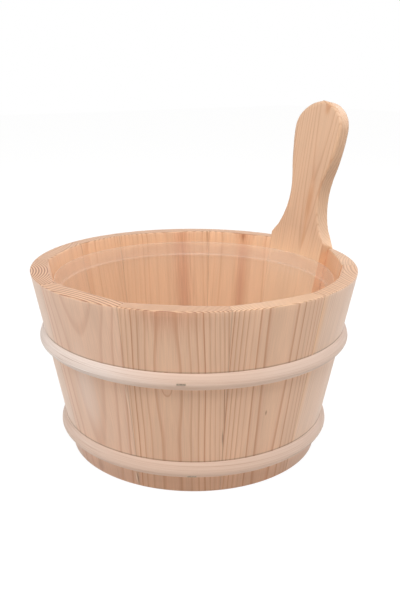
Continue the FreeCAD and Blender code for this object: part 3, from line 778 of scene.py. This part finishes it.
    def workOut(rows):
        for label, operation, *terms in rows:
            values[label] = add(tree, "Math", operation,
                                *[values.get(term, term) for term in terms])

    workOut(sums)
    where = add(tree, "CombineXYZ", None, values["ridgeAlong"], values["ridgeAround"],
                values["Seed"])
    values["torn"] = add(tree, "TexNoise", None, where,
                         named={"Scale": 1.0, "Detail": 4.0, "Roughness": 0.6})
    workOut(lastSums)
    moved = add(tree, "CombineXYZ", None, values["placeX"], values["placeY"], values["level"])
    shaped = add(tree, "GeometryNodeSetPosition", None, grid, named={"Position": moved})
    closed = add(tree, "GeometryNodeMergeByDistance", None, shaped, named={"Distance": 0.005 * mm})
    real = add(tree, "GeometryNodeRealizeInstances", None, closed)
    painted = add(tree, "GeometryNodeSetMaterial", None, real, named={"Material": material})
    add(tree, "NodeGroupOutput", None, painted)
    return tree


def grown(name, tree, values):
    # runs a node tree on an empty mesh and gives the result as a plain mesh
    piece = placed(name, bpy.data.meshes.new(name))
    modifier = piece.modifiers.new("grow", "NODES")
    modifier.node_group = tree
    for item in tree.interface.items_tree:
        if item.in_out == "INPUT" and item.name in values:
            modifier[item.identifier] = values[item.name]
    evaluated = piece.evaluated_get(bpy.context.evaluated_depsgraph_get())
    mesh = bpy.data.meshes.new_from_object(evaluated)
    piece.modifiers.clear()
    piece.data = mesh
    return piece


def closeEnds(piece, sharpAngle):
    shape = bmesh.new()
    shape.from_mesh(piece.data)
    rims = [edge for edge in shape.edges if len(edge.link_faces) == 1]
    bmesh.ops.holes_fill(shape, edges=rims, sides=0)
    bmesh.ops.recalc_face_normals(shape, faces=shape.faces)
    shape.to_mesh(piece.data)
    shape.free()
    piece.data.shade_smooth()
    piece.data.set_sharp_from_angle(angle=math.radians(sharpAngle))


def hoopMaterial(name, tints):
    material, tree = newMaterial(name)
    spot = add(tree, "TexCoord")
    about = add(tree, "Mapping", {"vector_type": "TEXTURE"}, spot.outputs["Object"],
                (axisX, 0, 0), (0, 0, 0), (mm, mm, mm))
    parts = add(tree, "SeparateXYZ", None, about)
    turn = add(tree, "Math", "ARCTAN2", parts.outputs["Y"], parts.outputs["X"])
    flat = add(tree, "VectorMath", "MULTIPLY", about, (1, 1, 0))
    reach = add(tree, "VectorMath", "LENGTH", flat)
    sine = add(tree, "Math", "SINE", turn)
    cosine = add(tree, "Math", "COSINE", turn)
    # fibres follow the bend: 0.7 mm wide, and stretched round the hoop to about 45 mm long
    fine, drawn = hoops["fibreAcross"], hoops["fibreRound"]
    where = add(tree, "CombineXYZ", None, reach.outputs["Value"], parts.outputs["Z"])
    where = add(tree, "VectorMath", "MULTIPLY", where, (fine, fine, 0))
    bent = add(tree, "CombineXYZ", None, sine, cosine, 0.0)
    bent = add(tree, "VectorMath", "MULTIPLY", bent, (drawn, drawn, 0))
    mixed = add(tree, "VectorMath", "ADD", where, bent)
    fibre = add(tree, "TexNoise", None, mixed,
                named={"Scale": 1.0, "Detail": 4.0, "Roughness": 0.6})
    tint = add(tree, "ValToRGB", {"stops": hoops["fibreTints"]}, fibre).outputs[0]
    for tintTurn, start, full, share in tints:
        tintShare = add(tree, "Math", "SUBTRACT", turn, math.radians(tintTurn))
        tintShare = add(tree, "Math", "COSINE", tintShare)
        tintShare = add(tree, "MapRange", None, tintShare, start, full, 0.0, share)
        tint = add(tree, "Mix", {"data_type": "RGBA"}, tintShare,
                   named={6: tint, 7: linear(hoops["darkTint"])}).outputs[2]
    bump = add(tree, "Bump", None, named={
        "Strength": hoops["bump"], "Distance": hoops["bumpDepth"] * mm, "Height": fibre})
    shader = add(tree, "BsdfPrincipled", None, named={
        "Base Color": tint, "Roughness": hoops["surfaceRoughness"], "IOR": 1.5, "Normal": bump,
        "Sheen Weight": hoops["sheen"], "Sheen Roughness": hoops["sheenRoughness"]})
    add(tree, "OutputMaterial", None, shader)
    return material


for label in ("upper_hoop", "lower_hoop"):
    own = hoops[label]
    rodTree = hoopTree(hoopMaterial(f"shaved spruce rod {label[:5]}", own["tints"]))
    piece = grown(f"rod_{label}", rodTree, {
        "SeatRadius": (wallRadius(own["level"]) + hoops["seat"]) * mm,
        "Level": own["level"] * mm, "Proud": hoops["proud"] * mm,
        "HalfHeight": hoops["height"] / 2 * mm, "Lean": lean,
        "ScarfAngle": math.radians(own["scarf"]), "ScarfInset": hoops["scarfInset"] * mm,
        "ScarfGap": hoops["scarfGap"] * mm, "Roughness": own["roughness"] * mm,
        "Seed": own["seed"], "AlongCount": hoops["alongCount"],
        "AroundCount": hoops["aroundCount"],
    })
    closeEnds(piece, 50)
    settle(piece, "pail", "hoop_wood", label)
print("hoops made")


# Liner: a clear tub, spun thin, with a frosted band below its rolled lip
liner = {  # mm
    "floor": 15.1, "floorTop": 16.0, "lowRadius": 84.2, "corner": 5.0, "wall": 0.9,
    "stepLevel": 122.9, "stepRadius": 104.56, "bandFoot": 124.0, "bandRadius": 105.66,
    # the band's outer and inner lines: out from its radius and up from its foot
    "bandOutside": ((0, 0), (0.35, 0.9), (0.38, 1.8), (0.45, 2.6)),
    "bandInside": ((0.45, 2.6), (0.1, 1.8), (-0.1, 0.9), (-0.1, 0)),
    "top": 134.5, "topRadius": 107.65, "turns": 200,
    # how solid it looks, as a grey, from under the band's step to over its lip
    # the band is frosted; the lighter lines at its foot and at the lip are painted highlights
    "frostAndHighlights": [(0.0, "#464646"), (0.06, "#505050"), (0.16, "#747474"), (0.28, "#686868"),
              (0.85, "#686868"), (0.93, "#747474")],
    "frostEdge": (-1, 0.5), "tint": "#FFEBDC", "roughness": 0.22,
    # the two rounded corners at the foot: shares of their radii, and degrees of the inner one
    "outerSeat": 0.83, "innerSeat": 0.95, "innerRise": 0.8, "innerBend": 200 / 3,
}


def straight(start, stop, count):
    # points on the way from start to stop, with the last but not the first
    shares = [step / count for step in range(1, count + 1)]
    return [(start[0] + (stop[0] - start[0]) * share, start[1] + (stop[1] - start[1]) * share)
            for share in shares]


def arc(centre, radius, start, stop, steps):
    # points round a centre, from one angle to another in degrees
    turns = [math.radians(start + (stop - start) * step / steps) for step in range(steps + 1)]
    return [(centre[0] + radius * math.cos(turn), centre[1] + radius * math.sin(turn))
            for turn in turns]


def linerProfile():
    own = liner
    wall, corner, lip = own["wall"], own["corner"], own["wall"] / 2
    outside = corner + wall
    outline = [(0.0, own["floor"])]
    outline += arc((own["lowRadius"] - outside * own["outerSeat"], own["floor"] + outside),
                   outside, -90, -math.degrees(lean), 6)
    outline += straight(outline[-1], (own["stepRadius"], own["stepLevel"]), 11)
    outline += [(own["bandRadius"] + out, own["bandFoot"] + up) for out, up in own["bandOutside"]]
    outline += arc((own["topRadius"] - lip, own["top"] - lip), lip, 0, 180, 6)
    outline += [(own["bandRadius"] - wall + out, own["bandFoot"] + up)
                for out, up in own["bandInside"]]
    outline.append((own["stepRadius"] - wall, own["stepLevel"]))
    low = (own["lowRadius"] - wall, own["floorTop"] + corner * own["innerRise"])
    outline += straight(outline[-1], low, 11)
    outline += arc((low[0] - corner * own["innerSeat"], own["floorTop"] + corner), corner,
                   own["innerBend"] - 90, -90, 5)
    outline.append((0.0, own["floorTop"]))
    return outline


def linerMaterial():
    # clear polypropylene: hardly seen, low gloss, milky on the frosted band, with painted
    # highlight lines at its foot and lip
    material, tree = newMaterial("clear polypropylene")
    spot = add(tree, "TexCoord")
    parts = add(tree, "SeparateXYZ", None, spot.outputs["Object"])
    under, over = liner["frostEdge"]
    low, high = (liner["stepLevel"] + under) * mm, (liner["top"] + over) * mm
    height = add(tree, "MapRange", None, parts.outputs["Z"], low, high, 0.0, 1.0)
    frostAndHighlights = add(tree, "ValToRGB", {"stops": liner["frostAndHighlights"]}, height)
    shader = add(tree, "BsdfPrincipled", None, named={
        "Base Color": linear(liner["tint"]), "Roughness": liner["roughness"], "IOR": 1.49,
        "Alpha": frostAndHighlights})
    add(tree, "OutputMaterial", None, shader)
    return material


def makeLiner():
    profile = linerProfile()
    turns = [2 * math.pi * step / liner["turns"] for step in range(liner["turns"])]
    points = [(radius * math.cos(turn), radius * math.sin(turn), level)
              for radius, level in profile for turn in turns]
    faces = loftFaces(len(profile), len(turns))
    piece = meshPiece("plastic_liner", points, faces, linerMaterial(), 40)
    settle(piece, "liner", "liner_plastic", "liner")


makeLiner()
print("liner made")


# Staples: the CAD's own flat wire, with the dull, finely pitted face of steel that has been damp
def steelMaterial():
    material, tree = newMaterial("dull steel wire")
    spot = add(tree, "TexCoord")
    fine = add(tree, "TexNoise", None, spot.outputs["Object"],
               named={"Scale": 900.0, "Detail": 2.0})
    tint = add(tree, "ValToRGB", {"stops": [(0.3, "#8A7B6C"), (0.7, "#B9A896")]}, fine)
    rough = add(tree, "MapRange", None, fine, 0.3, 0.7, 0.35, 0.55)
    shader = add(tree, "BsdfPrincipled", None, named={
        "Base Color": tint, "Roughness": rough, "Metallic": 1.0})
    add(tree, "OutputMaterial", None, shader)
    return material


def repaint(material, *nodes):
    for node in nodes:
        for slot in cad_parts[node].material_slots:
            slot.material = material


# Bottom boards: the CAD's own, in the same pine, seen only through the liner and from below
# the boards lie wholly inside, so these colours, painted warm for bounced light, cover them
boardLook = {"pith": (120, 0), "seed": 12, "inner": "#E4BC99", "innerLate": "#BC8B66",
             "innerContrast": 1.0}
repaint(steelMaterial(), "upper_hoop_staples", "lower_hoop_staples")
repaint(pineMaterial("planed pine bottom", 20, 180, boardLook),
        "bottom_board_left", "bottom_board_middle", "bottom_board_right")
print("staples and boards finished")


# Studio: pale floor, white backdrop and soft light
studio = {
    "floorSize": 8.0, "floorColour": "#D8D4D0", "floorGlow": 1.13, "shadowShare": 0.15,
    "skyStrength": 0.25, "lampDistance": 1.5, "lampSize": 1.0, "aimLevel": 0.1,
    # degrees round from the camera, degrees up, watts
    "lamps": {"key": (0, 62, 17.0), "top": (0, 90, 2.0), "left": (-90, 25, 5.3),
              "right": (95, 25, 3.6), "back": (135, 35, 3.8)},
}


def seenShare(tree):
    # 1 where the camera sees it, straight, in a gloss or through the liner
    path = add(tree, "LightPath").outputs
    seen = add(tree, "Math", "MAXIMUM", path["Is Camera Ray"], path["Is Glossy Ray"])
    return add(tree, "Math", "MAXIMUM", seen, path["Is Transmission Ray"])


def floorMaterial():
    material, tree = newMaterial("pale studio floor")
    plain = add(tree, "BsdfDiffuse", None, linear(studio["floorColour"]))
    glow = add(tree, "Emission", None, (1, 1, 1, 1), studio["floorGlow"])
    share = add(tree, "Math", "MULTIPLY", seenShare(tree), 1 - studio["shadowShare"])
    both = add(tree, "MixShader", None, share, plain, glow)
    add(tree, "OutputMaterial", None, both)
    return material


def makeFloor():
    half = studio["floorSize"] / 2
    mesh = bpy.data.meshes.new("floor")
    mesh.from_pydata([(-half, -half, 0), (half, -half, 0), (half, half, 0), (-half, half, 0)], [],
                     [(0, 1, 2, 3)])
    mesh.materials.append(floorMaterial())
    placed("floor", mesh)


def makeWorld():
    world = bpy.data.worlds.new("studio")
    world.use_nodes = True
    scene.world = world
    tree = world.node_tree
    tree.nodes.clear()
    sky = add(tree, "Background", None, (1, 1, 1, 1), studio["skyStrength"])
    white = add(tree, "Background", None, (1, 1, 1, 1), 1.0)
    both = add(tree, "MixShader", None, seenShare(tree), sky, white)
    add(tree, "OutputWorld", None, both)


def makeLamp(name, turn, rise, power):
    lampData = bpy.data.lights.new(name, "AREA")
    lampData.shape = "DISK"
    lampData.size = studio["lampSize"]
    lampData.energy = power
    lamp = placed(name, lampData)
    around, up = math.radians(view["azimuth"] + turn), math.radians(rise)
    away = Vector((math.cos(up) * math.cos(around), math.cos(up) * math.sin(around), math.sin(up)))
    lamp.location = Vector((axisX, 0, studio["aimLevel"])) + away * studio["lampDistance"]
    lamp.rotation_euler = away.to_track_quat("Z", "Y").to_euler()


makeFloor()
makeWorld()
for name, (turn, rise, power) in studio["lamps"].items():
    makeLamp(name, turn, rise, power)
scene.view_settings.view_transform = "Standard"
print("studio ready")
